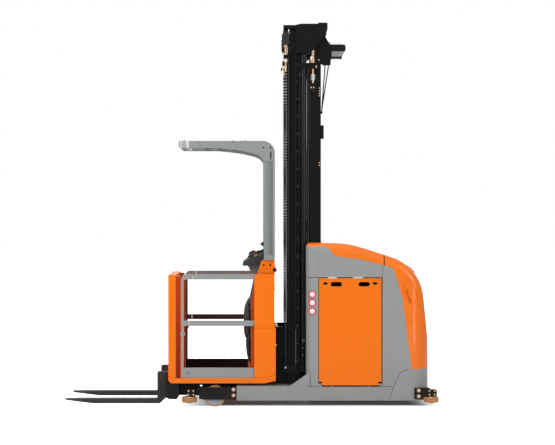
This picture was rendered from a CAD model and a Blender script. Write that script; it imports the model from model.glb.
from math import cos, pi, radians, sin, tau

import bmesh
import bpy
from mathutils import Matrix, Vector


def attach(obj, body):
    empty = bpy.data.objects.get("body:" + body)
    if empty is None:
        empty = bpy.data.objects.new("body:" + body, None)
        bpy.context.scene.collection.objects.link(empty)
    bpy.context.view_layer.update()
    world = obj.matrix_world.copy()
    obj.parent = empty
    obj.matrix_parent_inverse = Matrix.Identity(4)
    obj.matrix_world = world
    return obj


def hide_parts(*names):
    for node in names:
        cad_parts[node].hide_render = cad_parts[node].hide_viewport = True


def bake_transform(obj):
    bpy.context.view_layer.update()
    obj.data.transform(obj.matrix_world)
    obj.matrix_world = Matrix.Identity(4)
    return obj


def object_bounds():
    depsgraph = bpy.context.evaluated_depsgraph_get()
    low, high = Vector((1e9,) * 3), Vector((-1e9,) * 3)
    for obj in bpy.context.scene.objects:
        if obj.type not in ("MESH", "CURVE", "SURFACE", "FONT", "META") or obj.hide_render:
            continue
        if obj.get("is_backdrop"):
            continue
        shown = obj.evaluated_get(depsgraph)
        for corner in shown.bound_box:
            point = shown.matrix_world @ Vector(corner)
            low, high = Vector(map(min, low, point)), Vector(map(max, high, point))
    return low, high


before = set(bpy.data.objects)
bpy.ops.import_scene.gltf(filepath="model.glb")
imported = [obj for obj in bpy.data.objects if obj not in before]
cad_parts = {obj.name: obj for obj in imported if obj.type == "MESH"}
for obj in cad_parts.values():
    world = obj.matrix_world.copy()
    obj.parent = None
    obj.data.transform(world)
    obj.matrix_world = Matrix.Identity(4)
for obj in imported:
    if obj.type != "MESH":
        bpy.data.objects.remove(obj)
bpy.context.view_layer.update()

# The studio: a white floor that keeps the truck's soft shadow, a white surround, four large soft
# lamps, and a camera square to the truck's side at chest height, as far back as the photograph's.

scene = bpy.context.scene
scene.view_settings.view_transform = "Standard"

photo_width = 555
focal_px = 1618
shift_right_px, shift_down_px = 25.5, 12.5
camera_data = bpy.data.cameras.new("photo_camera")
camera_data.sensor_width = 36
camera_data.lens = focal_px / photo_width * camera_data.sensor_width
camera_data.shift_x = shift_right_px / photo_width
camera_data.shift_y = -shift_down_px / photo_width
camera = bpy.data.objects.new("photo_camera", camera_data)
camera.location = (0.0089, -14.385, 1.692)
camera.rotation_euler = (pi / 2, 0, 0)
scene.collection.objects.link(camera)
scene.camera = camera

floor_half = 60
floor_mesh = bpy.data.meshes.new("studio_floor")
floor_mesh.from_pydata(
    [(x * floor_half, y * floor_half, -0.0005) for x, y in ((-1, -1), (1, -1), (1, 1), (-1, 1))],
    [], [(0, 1, 2, 3)],
)
floor = bpy.data.objects.new("studio_floor", floor_mesh)
scene.collection.objects.link(floor)
floor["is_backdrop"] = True


def axes_of(tree, vector):
    """X, Y and Z of a vector."""
    axes = tree.nodes.new("ShaderNodeSeparateXYZ")
    tree.links.new(vector, axes.inputs[0])
    return axes.outputs


def maths(tree, operation, first, second):
    """Math node whose ends are sockets or numbers."""
    node = tree.nodes.new("ShaderNodeMath")
    node.operation = operation
    for socket, value in zip(node.inputs, (first, second)):
        if hasattr(value, "links"):
            tree.links.new(value, socket)
        else:
            socket.default_value = value
    return node.outputs[0]


def times(tree, first, second):
    return maths(tree, "MULTIPLY", first, second)


def plus(tree, first, second):
    return maths(tree, "ADD", first, second)


def ramp(tree, value, low, high, over=(0, 1), curve="LINEAR"):
    """First end below one bound, second end above the other; the bounds may run downwards."""
    node = tree.nodes.new("ShaderNodeMapRange")
    node.interpolation_type = curve
    node.inputs["From Min"].default_value = low
    node.inputs["From Max"].default_value = high
    node.inputs["To Min"].default_value, node.inputs["To Max"].default_value = over
    tree.links.new(value, node.inputs["Value"])
    return node.outputs[0]


floor_white = bpy.data.materials.new("floor_white")
floor_white.use_nodes = True
tree = floor_white.node_tree
floor_shader = tree.nodes["Principled BSDF"]
for label, value in (("Base Color", (0.8, 0.8, 0.8, 1)), ("Roughness", 0.9), ("Specular IOR Level", 0.1),
                     ("Emission Color", (1, 1, 1, 1))):
    floor_shader.inputs[label].default_value = value
floor_axes = axes_of(tree, tree.nodes.new("ShaderNodeTexCoord").outputs["Object"])
shade_edges = []
for axis, middle, inner_edge, outer_edge in (("X", 0.575, 0.80, 1.35), ("Y", 0.0, 0.32, 0.48)):
    away = maths(tree, "ABSOLUTE", maths(tree, "SUBTRACT", floor_axes[axis], middle), 0)
    shade_edges.append(ramp(tree, away, inner_edge, outer_edge, curve="SMOOTHSTEP"))
floor_glow = ramp(tree, maths(tree, "MAXIMUM", *shade_edges), 0, 1, (0.035, 1.2))
floor_seen = times(tree, floor_glow, tree.nodes.new("ShaderNodeLightPath").outputs["Is Camera Ray"])
tree.links.new(floor_seen, floor_shader.inputs["Emission Strength"])
floor_mesh.materials.append(floor_white)

world = bpy.data.worlds.new("white_surround")
world.use_nodes = True
scene.world = world
tree = world.node_tree
sky = tree.nodes["Background"]
sky.inputs["Color"].default_value = (1, 1, 1, 1)
rays = tree.nodes.new("ShaderNodeLightPath").outputs
sky_clear = maths(tree, "MAXIMUM", rays["Is Camera Ray"], rays["Is Glossy Ray"])
sky_clear = maths(tree, "MAXIMUM", sky_clear, rays["Is Transmission Ray"])
tree.links.new(ramp(tree, sky_clear, 0, 1, (0.36, 1.0)), sky.inputs["Strength"])


def soft_lamp(name, place, size, watts, gloss_only=False):
    """Rectangular soft lamp turned towards the middle of the truck."""
    data = bpy.data.lights.new(name, "AREA")
    data.shape = "RECTANGLE"
    data.size, data.size_y = size
    data.energy = watts
    lamp = bpy.data.objects.new(name, data)
    lamp.location = place
    lamp.rotation_euler = (Vector((0, 0, 1.3)) - Vector(place)).to_track_quat("-Z", "Y").to_euler()
    lamp.visible_diffuse = not gloss_only
    scene.collection.objects.link(lamp)


soft_lamp("front_left_lamp", (-5.5, -8.5, 5.0), (5, 5), 430)
soft_lamp("front_right_lamp", (6.5, -8.0, 3.2), (4, 4), 210)
soft_lamp("rear_lamp_soft", (3.0, 7.5, 4.5), (6, 4), 230)
soft_lamp("overhead_lamp", (-1.0, -1.0, 7.5), (6, 4), 170)
soft_lamp("right_strip_lamp", (5.6, -4.8, 1.6), (1.3, 3.1), 45, gloss_only=True)


# Chassis frame: two box-section load legs, the battery floor and the mast foot, welded from plate
# and sprayed in mid grey machine enamel that gathers dust and small scuffs close to the floor.

grey_rgb = (0.315, 0.330, 0.322)
mid_grey = (0.5, 0.5, 0.5, 1)
enamel_inputs = {"Colour": mid_grey, "Roughness": 0.35, "Mottle": 0.05, "Dust": 0.25, "Scuff": 0.1}


def new_group(name, inputs, metallic=False):
    """Empty skin group: its tree, its inputs' node, the object's own place and that place's axes."""
    tree = bpy.data.node_groups.new(name, "ShaderNodeTree")
    for label, value in inputs.items():
        kind = "NodeSocketColor" if isinstance(value, tuple) else "NodeSocketFloat"
        tree.interface.new_socket(label, in_out="INPUT", socket_type=kind).default_value = value
    tree.interface.new_socket("Colour", in_out="OUTPUT", socket_type="NodeSocketColor")
    for label in ("Roughness", "Metallic", "Height") if metallic else ("Roughness", "Height"):
        tree.interface.new_socket(label, in_out="OUTPUT", socket_type="NodeSocketFloat")
    inp = tree.nodes.new("NodeGroupInput")
    place = tree.nodes.new("ShaderNodeTexCoord").outputs["Object"]
    return tree, inp.outputs, place, axes_of(tree, place)


def end_group(tree, **results):
    """Links the skin's results to the group's output."""
    out = tree.nodes.new("NodeGroupOutput")
    for label, socket in results.items():
        tree.links.new(socket, out.inputs[label])
    return tree


def noise(tree, place, scale, detail=2.0):
    """Noise on a place, centred on nought."""
    node = tree.nodes.new("ShaderNodeTexNoise")
    node.inputs["Scale"].default_value = scale
    node.inputs["Detail"].default_value = detail
    tree.links.new(place, node.inputs["Vector"])
    return maths(tree, "SUBTRACT", node.outputs["Fac"], 0.5)


def blend_colour(tree, mask, under, over):
    """Two colours, sockets or values, mixed by a mask."""
    node = tree.nodes.new("ShaderNodeMix")
    node.data_type = "RGBA"
    tree.links.new(mask, node.inputs[0])
    for socket, value in ((node.inputs[6], under), (node.inputs[7], over)):
        if hasattr(value, "links"):
            tree.links.new(value, socket)
        else:
            socket.default_value = value
    return node.outputs[2]


def stretched(tree, place, factors):
    """A place scaled along its axes, for patterns that run one way."""
    node = tree.nodes.new("ShaderNodeVectorMath")
    node.operation = "MULTIPLY"
    node.inputs[1].default_value = factors
    tree.links.new(place, node.inputs[0])
    return node.outputs[0]


def clouded(tree, colour, swing):
    """A colour made lighter and darker about itself by a swing centred on nought."""
    node = tree.nodes.new("ShaderNodeVectorMath")
    node.operation = "SCALE"
    tree.links.new(colour, node.inputs[0])
    tree.links.new(plus(tree, swing, 1.0), node.inputs["Scale"])
    return node.outputs[0]


def enamel_group():
    """Machine enamel: cloudy tone, spray texture, floor dust and fine scuffs."""
    tree, inp, place, axes = new_group("machine_enamel", enamel_inputs)
    cloud = noise(tree, place, 2.4, 4)
    tone = clouded(tree, inp["Colour"], times(tree, cloud, inp["Mottle"]))
    low_down = ramp(tree, axes["Z"], 0.42, 0.02)
    patchy = plus(tree, noise(tree, place, 9, 5), 0.6)
    dust = times(tree, times(tree, low_down, patchy), inp["Dust"])
    dusty = blend_colour(tree, dust, tone, (0.14, 0.125, 0.11, 1))
    scratch = ramp(tree, noise(tree, stretched(tree, place, (1.0, 1.0, 9.0)), 21, 6), 0.19, 0.26)
    worn = blend_colour(tree, times(tree, scratch, inp["Scuff"]), dusty, (0.30, 0.28, 0.26, 1))
    rough = plus(tree, inp["Roughness"], times(tree, dust, 0.6))
    rough = plus(tree, rough, times(tree, cloud, 0.12))
    return end_group(tree, Colour=worn, Roughness=rough, Height=noise(tree, place, 380, 1))


machine_enamel = enamel_group()


def skinned(name, group, values, relief=0.00005, **constants):
    """Principled material fed by one skin group; constants go on the shader's own sockets."""
    material = bpy.data.materials.new(name)
    material.use_nodes = True
    tree = material.node_tree
    shader = tree.nodes["Principled BSDF"]
    skin = tree.nodes.new("ShaderNodeGroup")
    skin.node_tree = group
    for label, value in values.items():
        skin.inputs[label].default_value = value
    for label in ("Roughness", "Metallic"):
        if label in skin.outputs:
            tree.links.new(skin.outputs[label], shader.inputs[label])
    tree.links.new(skin.outputs["Colour"], shader.inputs["Base Color"])
    bump = tree.nodes.new("ShaderNodeBump")
    bump.inputs["Strength"].default_value = 0.5
    bump.inputs["Distance"].default_value = relief
    tree.links.new(skin.outputs["Height"], bump.inputs["Height"])
    tree.links.new(bump.outputs["Normal"], shader.inputs["Normal"])
    shader.inputs["Specular IOR Level"].default_value = 0.12
    for label, value in constants.items():
        shader.inputs[label.replace("_", " ").title().replace("Ior", "IOR")].default_value = value
    return material


def enamel(name, colour, roughness=0.35, mottle=0.05, dust=0.25, scuff=0.08, **constants):
    """Machine enamel in one colour."""
    values = {"Colour": (*colour, 1), "Roughness": roughness, "Mottle": mottle, "Dust": dust,
              "Scuff": scuff}
    return skinned(name, machine_enamel, values, **constants)


def dress(material, *names):
    """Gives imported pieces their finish."""
    for name in names:
        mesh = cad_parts[name].data
        mesh.materials.clear()
        mesh.materials.append(material)


def banded_group():
    """Machine enamel with a second tone on the side faces, between two places along the truck."""
    tree, inp, place, axes = new_group("banded_enamel", {**enamel_inputs, **band_inputs})
    skin = tree.nodes.new("ShaderNodeGroup")
    skin.node_tree = machine_enamel
    for label in enamel_inputs:
        tree.links.new(inp[label], skin.inputs[label])
    facing = axes_of(tree, tree.nodes.new("ShaderNodeTexCoord").outputs["Normal"])
    into = maths(tree, "SUBTRACT", axes["X"], inp["Front"])
    mask = ramp(tree, maths(tree, "DIVIDE", into, inp["Soft"]), 0.0, 1.0)
    sideways = maths(tree, "ABSOLUTE", facing["Y"], 0)
    for test in (maths(tree, "LESS_THAN", axes["X"], inp["Rear"]),
                 maths(tree, "GREATER_THAN", axes["Z"], inp["Low"]),
                 maths(tree, "LESS_THAN", axes["Z"], inp["High"]),
                 maths(tree, "GREATER_THAN", sideways, 0.6)):
        mask = times(tree, mask, test)
    height = maths(tree, "SUBTRACT", axes["Z"], inp["Low"])
    reach = maths(tree, "SUBTRACT", inp["High"], inp["Low"])
    upward = ramp(tree, maths(tree, "DIVIDE", height, reach), 0.0, 1.0)
    band = blend_colour(tree, upward, inp["Band Foot"], inp["Band Top"])
    return end_group(tree, Colour=blend_colour(tree, mask, skin.outputs["Colour"], band),
                     Roughness=skin.outputs["Roughness"], Height=skin.outputs["Height"])


band_inputs = {"Band Top": mid_grey, "Band Foot": mid_grey, "Front": 0.0, "Soft": 0.0005, "Rear": 1.0,
               "Low": 0.0, "High": 3.0}
banded_enamel = banded_group()


def banded(name, colour, top, foot, front, soft, rear, low, high, roughness=0.36, **constants):
    """Enamel with one band; bounds in metres along the truck and upwards."""
    values = {"Colour": (*colour, 1), "Roughness": roughness, "Mottle": 0.04, "Dust": 0.1, "Scuff": 0.03,
              "Band Top": (*top, 1), "Band Foot": (*foot, 1), "Front": front, "Soft": soft, "Rear": rear,
              "Low": low, "High": high}
    return skinned(name, banded_enamel, values, **constants)


grey_enamel = enamel("grey_enamel", grey_rgb, 0.42, coat_weight=0.12, coat_roughness=0.15)
dress(grey_enamel, "chassis_frame")


# Load wheel housings: black castings on the leg ends, open over the wheel, each held by a pair of
# large yellow-passivated bolts through its rear flange. The bolts are hexagon heads on washers.

black_rgb = (0.0075, 0.0075, 0.0080)
bolt_rgb = (0.80, 0.55, 0.36)
black_cast = enamel("black_cast_enamel", black_rgb, 0.5, mottle=0.5, dust=0.10, scuff=0.03)
dress(black_cast, "leg_wheel_housings")


def tree_of_nodes(name, inputs):
    """Empty Geometry Nodes tree with a mesh input, named inputs and its two end nodes."""
    tree = bpy.data.node_groups.new(name, "GeometryNodeTree")
    tree.interface.new_socket("Geometry", in_out="INPUT", socket_type="NodeSocketGeometry")
    for label, kind in inputs:
        tree.interface.new_socket(label, in_out="INPUT", socket_type=kind)
    tree.interface.new_socket("Geometry", in_out="OUTPUT", socket_type="NodeSocketGeometry")
    return tree, tree.nodes.new("NodeGroupInput").outputs


def close_tree(tree, inp, geometry):
    """Ends a tree in real geometry with its material."""
    real = tree.nodes.new("GeometryNodeRealizeInstances")
    coat = tree.nodes.new("GeometryNodeSetMaterial")
    tree.links.new(geometry, real.inputs[0])
    tree.links.new(real.outputs[0], coat.inputs["Geometry"])
    tree.links.new(inp["Material"], coat.inputs["Material"])
    tree.links.new(coat.outputs[0], tree.nodes.new("NodeGroupOutput").inputs[0])
    return tree


def vector_of(tree, **sizes):
    """Vector from sockets named by axis."""
    node = tree.nodes.new("ShaderNodeCombineXYZ")
    for axis, socket in sizes.items():
        tree.links.new(socket, node.inputs[axis])
    return node.outputs[0]


def moved(tree, geometry, place=None, turn=(0, 0, 0), scale=(1, 1, 1)):
    """Geometry turned and scaled about its origin, then moved by a vector socket."""
    node = tree.nodes.new("GeometryNodeTransform")
    node.inputs["Rotation"].default_value = turn
    node.inputs["Scale"].default_value = scale
    tree.links.new(geometry, node.inputs["Geometry"])
    if place:
        tree.links.new(place, node.inputs["Translation"])
    return node.outputs[0]


def joined(tree, parts):
    node = tree.nodes.new("GeometryNodeJoinGeometry")
    for part in parts:
        tree.links.new(part, node.inputs[0])
    return node.outputs[0]


def cylinder(tree, sides, radius, depth):
    node = tree.nodes.new("GeometryNodeMeshCylinder")
    node.inputs["Vertices"].default_value = sides
    tree.links.new(radius, node.inputs["Radius"])
    tree.links.new(depth, node.inputs["Depth"])
    return node.outputs["Mesh"]


def on_points(tree, points, shape, **inputs):
    """Copies of a shape on points."""
    node = tree.nodes.new("GeometryNodeInstanceOnPoints")
    for label, socket in {"Points": points, "Instance": shape, **inputs}.items():
        tree.links.new(socket, node.inputs[label])
    return node.outputs[0]


def aligned(tree, vector, pivot="AUTO"):
    """Turn that brings Z onto a vector."""
    node = tree.nodes.new("FunctionNodeAlignEulerToVector")
    node.axis = "Z"
    node.pivot_axis = pivot
    tree.links.new(vector, node.inputs["Vector"])
    return node.outputs[0]


def drum(tree, sides, radius, depth, lift):
    """Closed drum of a number of sides, raised along its own axis."""
    return moved(tree, cylinder(tree, sides, radius, depth), vector_of(tree, Z=lift))


def fastener_tree():
    """A head on a washer at each point, turned along the point's facing."""
    tree, inp = tree_of_nodes("fastener_heads", (
        ("Radius", "NodeSocketFloat"), ("Height", "NodeSocketFloat"), ("Washer", "NodeSocketFloat"),
        ("Material", "NodeSocketMaterial"),
    ))
    radius, height = inp["Radius"], inp["Height"]
    disc_h = times(tree, height, 0.3)
    disc = drum(tree, 20, inp["Washer"], disc_h, times(tree, disc_h, 0.5))
    head = drum(tree, 6, radius, height, times(tree, height, 0.5))
    crown = drum(tree, 12, times(tree, radius, 0.62), height, times(tree, height, 0.62))
    facing = tree.nodes.new("GeometryNodeInputNamedAttribute")
    facing.data_type = "FLOAT_VECTOR"
    facing.inputs["Name"].default_value = "facing"
    bolt = joined(tree, (disc, head, crown))
    return close_tree(tree, inp,
                      on_points(tree, inp["Geometry"], bolt, Rotation=aligned(tree, facing.outputs[0])))


fastener_heads = fastener_tree()


def run_tree(name, mesh, tree, values):
    """Runs a tree on a mesh and returns the plain mesh that comes out."""
    carrier = bpy.data.objects.new(name + "_carrier", mesh)
    scene.collection.objects.link(carrier)
    modifier = carrier.modifiers.new("nodes", "NODES")
    modifier.node_group = tree
    labels = {item.name: item.identifier for item in tree.interface.items_tree if item.in_out == "INPUT"}
    for label, value in values.items():
        modifier[labels[label]] = value
    bpy.context.view_layer.update()
    result = bpy.data.meshes.new_from_object(carrier.evaluated_get(bpy.context.evaluated_depsgraph_get()))
    carrier.modifiers.clear()
    bpy.data.objects.remove(carrier)
    result.name = name
    return result


def add_piece(name, mesh, body, slot, *materials):
    """Links a finished mesh as a piece of a body, with its finishes and the record's slot."""
    piece = bpy.data.objects.new(name, mesh)
    scene.collection.objects.link(piece)
    if materials:
        mesh.materials.clear()
    for material in materials:
        mesh.materials.append(material)
    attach(piece, body)
    return piece


def both_sides(places):
    """Places on the near side, and the same places mirrored to the far side."""
    mirrored = [((x, -y, z), (dx, -dy, dz)) for (x, y, z), (dx, dy, dz) in places]
    return places + mirrored


def fasteners(name, body, slot, material, places, radius, height, washer=1.35):
    """Bolt or screw heads at (place, facing) pairs, as one piece."""
    points = bpy.data.meshes.new(name + "_points")
    points.from_pydata([place for place, facing in places], [], [])
    facings = points.attributes.new("facing", "FLOAT_VECTOR", "POINT")
    for index, (place, facing) in enumerate(places):
        facings.data[index].vector = facing
    values = {"Radius": radius, "Height": height, "Washer": radius * washer, "Material": material}
    return add_piece(name, run_tree(name, points, fastener_heads, values), body, slot)


near = (0, -1, 0)
bolt_gold = enamel("bolt_passivate", bolt_rgb, 0.32, mottle=0.3, dust=0.2, scuff=0.0, metallic=0.35,
                   specular_ior_level=0.5)
leg_face = -0.490
fasteners(
    "housing_bolts", "chassis", "gold_steel", bolt_gold,
    both_sides([((-0.150, leg_face, z), near) for z in (0.1496, 0.0998)]), 0.0115, 0.009,
)


# Load wheels: steel hubs with a bonded polyurethane tyre on fixed axles, one in each housing.
# The tyre is honey-brown and slightly clear, and each hub has a dark bearing seal.

pu_rgb = (0.56, 0.25, 0.085)


def tyre_group():
    """Moulded tyre: faint tone bands, grime and rubbed patches."""
    tree, inp, place, axes = new_group("moulded_tyre", {"Colour": mid_grey, "Grime": 0.4})
    grime = times(tree, plus(tree, noise(tree, place, 26, 5), 0.45), inp["Grime"])
    return end_group(tree, Colour=blend_colour(tree, grime, inp["Colour"], (0.05, 0.035, 0.025, 1)),
                     Roughness=plus(tree, times(tree, grime, 0.4), 0.42), Height=noise(tree, place, 160, 3))


moulded_tyre = tyre_group()
wheel_pu = skinned(
    "polyurethane", moulded_tyre, {"Colour": (*pu_rgb, 1), "Grime": 0.35}, 0.0002, specular_ior_level=0.3
)
hub_grey = enamel("hub_enamel", (0.50, 0.53, 0.56), 0.4, mottle=0.2, dust=0.5)
seal_rubber = skinned("seal_rubber", moulded_tyre, {"Colour": (0.02, 0.02, 0.02, 1), "Grime": 0.2}, 0.0002)
axle_steel = enamel("axle_steel", (0.55, 0.55, 0.54), 0.25, mottle=0.3, dust=0.3, metallic=1.0)
dress(wheel_pu, "load_wheel_tyre_left", "load_wheel_tyre_right")
dress(hub_grey, "load_wheel_hub_left", "load_wheel_hub_right")
dress(axle_steel, "load_wheel_axles")


def turned(rows, centre, axis="Y", steps=40):
    """Closed ring turned from (radius, along) rows round an axis through a centre."""
    shape = bmesh.new()
    rings = []
    for step in range(steps):
        angle = tau * step / steps
        ring = []
        for radius, along in rows:
            u, v = radius * cos(angle), radius * sin(angle)
            offset = {"X": (along, u, v), "Y": (u, along, v), "Z": (u, v, along)}[axis]
            ring.append(shape.verts.new(Vector(centre) + Vector(offset)))
        rings.append(ring)
    count = len(rows)
    for ring, after in zip(rings, rings[1:] + rings[:1]):
        for here in range(count):
            there = (here + 1) % count
            shape.faces.new((ring[here], ring[there], after[there], after[here]))
    bmesh.ops.recalc_face_normals(shape, faces=shape.faces)
    return shape


def mesh_of(name, *shapes):
    """One mesh from several bmesh shapes."""
    joined = bmesh.new()
    for shape in shapes:
        part = bpy.data.meshes.new("part")
        shape.to_mesh(part)
        shape.free()
        joined.from_mesh(part)
        bpy.data.meshes.remove(part)
    mesh = bpy.data.meshes.new(name)
    joined.to_mesh(mesh)
    joined.free()
    return mesh


def smoothed(mesh, angle=35):
    """Rounds the shading except over edges sharper than an angle."""
    mesh.polygons.foreach_set("use_smooth", [True] * len(mesh.polygons))
    mesh.set_sharp_from_angle(angle=radians(angle))
    return mesh


def add_plain(name, shapes, body, slot, material):
    """Adds shapes as one piece with flat faces."""
    return add_piece(name, mesh_of(name, *shapes), body, slot, material)


def add_smooth(name, shapes, body, slot, material, angle=35):
    """Adds shapes as one piece with rounded shading."""
    return add_piece(name, smoothed(mesh_of(name, *shapes), angle), body, slot, material)


sides = (("left", 1), ("right", -1))
load_hub = Vector((-0.309, 0.420, 0.090))
for side, sign in sides:
    seals = []
    for face in (-1, 1):
        at = (load_hub.x, sign * load_hub.y + face * 0.0415, load_hub.z)
        seals.append(turned([(0.0165, -0.002), (0.030, -0.002), (0.030, 0.002), (0.0165, 0.002)], at))
    add_smooth(f"load_wheel_seals_{side}", seals, f"load_wheel_{side}", "black_plastic", seal_rubber)


# Guide rollers: four flat polyurethane discs that run along the aisle rails, on black brackets
# bolted with washers to the leg ends and to the rear base. Each turns on an upright pin.

dress(wheel_pu, "guide_roller_front_left", "guide_roller_front_right", "guide_roller_rear_left",
      "guide_roller_rear_right")
dress(black_cast, "guide_roller_brackets")
front_plate = [((x, leg_face, z), near) for x in (-0.537, -0.495) for z in (0.139, 0.106)]
rear_plate = [((x, leg_face, z), near) for x in (1.533, 1.577) for z in (0.139, 0.106)]
fasteners("guide_bracket_bolts", "chassis", "gold_steel", bolt_gold,
          both_sides(front_plate + rear_plate), 0.0055, 0.005)
fasteners("corner_plate_bolts", "chassis", "gold_steel", bolt_gold,
          both_sides([((1.441, leg_face, z), near) for z in (0.142, 0.092)]), 0.0115, 0.009)
for side, sign in sides:
    for end, x in (("front", -0.529), ("rear", 1.549)):
        name = f"guide_cap_{end}_{side}"
        ring = turned([(0.0205, 0.0), (0.038, 0.0), (0.036, 0.0022), (0.0205, 0.0022)],
                      (x, sign * 0.475, 0.086), "Z")
        add_piece(name, smoothed(mesh_of(name, ring)), f"guide_roller_{end}_{side}", "steel", axle_steel)


# Body panels: pressed grey sides and back of the power unit with grooved joints, blank warning
# discs, light stop clips over the battery doors and a rubber seal in the door's gap.

dress(grey_enamel, "body_panels")
sign_white = enamel("sign_white", (0.86, 0.86, 0.86), 0.5, mottle=0.02, dust=0.0, scuff=0.0)
sign_red = enamel("sign_red", (0.78, 0.012, 0.016), 0.5, mottle=0.05, dust=0.0, scuff=0.0)
print_black = enamel("print_black", (0.012, 0.013, 0.016), 0.5, mottle=0.1, dust=0.0, scuff=0.0)
clip_light = enamel("clip_light", (0.62, 0.62, 0.61), 0.4, mottle=0.1, dust=0.0)


def flat_shape(outline, low, high, axis="Y"):
    """Closed plate whose outline gives the two coordinates across the axis, such as (x, z) for Y."""
    shape = bmesh.new()
    spot = "XYZ".index(axis)
    layers = [[shape.verts.new((*point[:spot], level, *point[spot:])) for point in outline]
              for level in (low, high)]
    shape.faces.new(layers[0])
    shape.faces.new(list(reversed(layers[1])))
    for here in range(len(outline)):
        there = (here + 1) % len(outline)
        shape.faces.new((layers[0][here], layers[1][here], layers[1][there], layers[0][there]))
    bmesh.ops.recalc_face_normals(shape, faces=shape.faces)
    return shape


def box_shape(low, high, round_off=0.0, steps=2):
    """Box between two corners, with its edges rounded."""
    shape = bmesh.new()
    bmesh.ops.create_cube(shape, size=1)
    size = Vector(high) - Vector(low)
    middle = (Vector(high) + Vector(low)) / 2
    bmesh.ops.transform(
        shape, verts=shape.verts, matrix=Matrix.Translation(middle) @ Matrix.Diagonal((*size, 1))
    )
    if round_off:
        bmesh.ops.bevel(shape, geom=shape.edges[:], offset=round_off, segments=steps, profile=0.5,
                        affect="EDGES")
    return shape


def disc_outline(x, z, radius, steps=40):
    return [(x + radius * cos(tau * n / steps), z + radius * sin(tau * n / steps)) for n in range(steps)]


def sided(low, high):
    """Depths of a plate on the near side, and on the far side."""
    return (low, high), (-high, -low)


def depths(sign, inner, outer):
    """Depths of a plate on one side, from its inner and outer distance to the middle."""
    return sorted((sign * inner, sign * outer))


panel_face = -0.490
print_t, ring_t = 0.0006, 0.0009
sign_x, sign_r, ring_share = 0.527, 0.032, 0.70
sign_heights = (0.968, 0.896, 0.823)
ring_rows = [(sign_r * ring_share, -ring_t), (sign_r, -ring_t), (sign_r, ring_t),
             (sign_r * ring_share, ring_t)]
discs, rings = [], []
for z in sign_heights:
    for low, high in sided(panel_face - print_t, panel_face + print_t):
        discs.append(flat_shape(disc_outline(sign_x, z, sign_r), low, high))
    for face in (panel_face, -panel_face):
        rings.append(turned(ring_rows, (sign_x, face, z)))
add_plain("warning_discs", discs, "chassis", "grey_paint", sign_white)
add_plain("warning_rings", rings, "chassis", "grey_paint", sign_red)

clips, dark_stops = [], []
for low, high in sided(panel_face - 0.002, panel_face + 0.006):
    for x0, x1 in ((0.671, 0.735), (0.884, 0.962)):
        clips.append(box_shape((x0, low, 1.1045), (x1, high, 1.1185), 0.0015, 1))
    for x0, x1 in ((0.592, 0.660), (0.742, 0.876), (0.970, 1.045), (1.060, 1.118)):
        dark_stops.append(box_shape((x0, low + 0.002, 1.1068), (x1, high, 1.1150), 0.001, 1))
add_smooth("door_stop_clips", clips, "chassis", "grey_paint", clip_light)
add_plain("door_stop_gaps", dark_stops, "chassis", "black_plastic", print_black)
seal_bars = []
for low, high in sided(-0.4885, -0.468):
    for x0, x1 in ((0.5795, 0.5835), (1.1215, 1.1255)):
        seal_bars.append(box_shape((x0, low, 0.216), (x1, high, 1.105)))
add_plain("door_gap_seals", seal_bars, "chassis", "mat_rubber", seal_rubber)


def strip_outline(line, half):
    """Outline of a thin strip along an open line."""
    over, under = [], []
    for here, (x, z) in enumerate(line):
        (x0, z0), (x1, z1) = line[max(here - 1, 0)], line[min(here + 1, len(line) - 1)]
        length = ((x1 - x0) ** 2 + (z1 - z0) ** 2) ** 0.5
        dx, dz = (x1 - x0) / length * half, (z1 - z0) / length * half
        over.append((x - dz, z + dx))
        under.append((x + dz, z - dx))
    return over + under[::-1]


base_seam = [(1.188, 0.057), (1.226, 0.178), (1.2739, 0.2801), (1.2818, 0.2913), (1.2929, 0.2991),
             (1.3389, 0.3211), (1.352, 0.324)]
seams = []
for low, high in sided(-0.4906, -0.4890):
    seams.append(flat_shape(strip_outline(base_seam, 0.0014), low, high))
    for x0, x1, z0, z1 in ((0.4765, 0.579, 0.1735, 0.1765), (1.126, 1.226, 0.1735, 0.1765),
                           (0.606, 0.684, 0.1740, 0.1810), (0.696, 1.004, 0.1740, 0.1810),
                           (1.016, 1.120, 0.1740, 0.1810)):
        seams.append(box_shape((x0, low, z0), (x1, high, z1)))
for low, high in sided(-0.4880, -0.4862):
    seams.append(box_shape((0.4765, low, 1.1103), (0.579, high, 1.1137)))
    seams.append(box_shape((1.1293, low, 0.180), (1.1317, high, 1.200)))
add_plain("body_seams", seams, "chassis", "black_plastic", print_black)


# Rear base: the heavy grey casting under the tail that carries the drive unit and rollers.
# It is sprayed with the body and shows the same enamel, dustier at its lower edge.

grey_gloss = enamel("grey_gloss", grey_rgb, 0.42, coat_weight=0.55, coat_roughness=0.08)
dress(grey_gloss, "rear_base")


# Battery doors: thick orange pressed panels hinged along their lower edge, each with two grip
# slots edged in black rubber and two printed black diamonds that mark where to lift.

orange_rgb = (0.955, 0.190, 0.0045)
orange_enamel = enamel("orange_enamel", orange_rgb, 0.36, mottle=0.035, dust=0.10, scuff=0.0,
                       coat_weight=0.16, coat_roughness=0.10)
dress(orange_enamel, "battery_door_left", "battery_door_right")
grip_z, grip_r, grip_straight = 1.0545, 0.0195, 0.029


def slot_outline(x, radius):
    """Round-ended slot as an outline."""
    right = [(x + grip_straight + radius * cos(a), grip_z + radius * sin(a))
             for a in (radians(-90 + 12 * n) for n in range(16))]
    left = [(x - grip_straight + radius * cos(a), grip_z + radius * sin(a))
            for a in (radians(90 + 12 * n) for n in range(16))]
    return right + left


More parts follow.
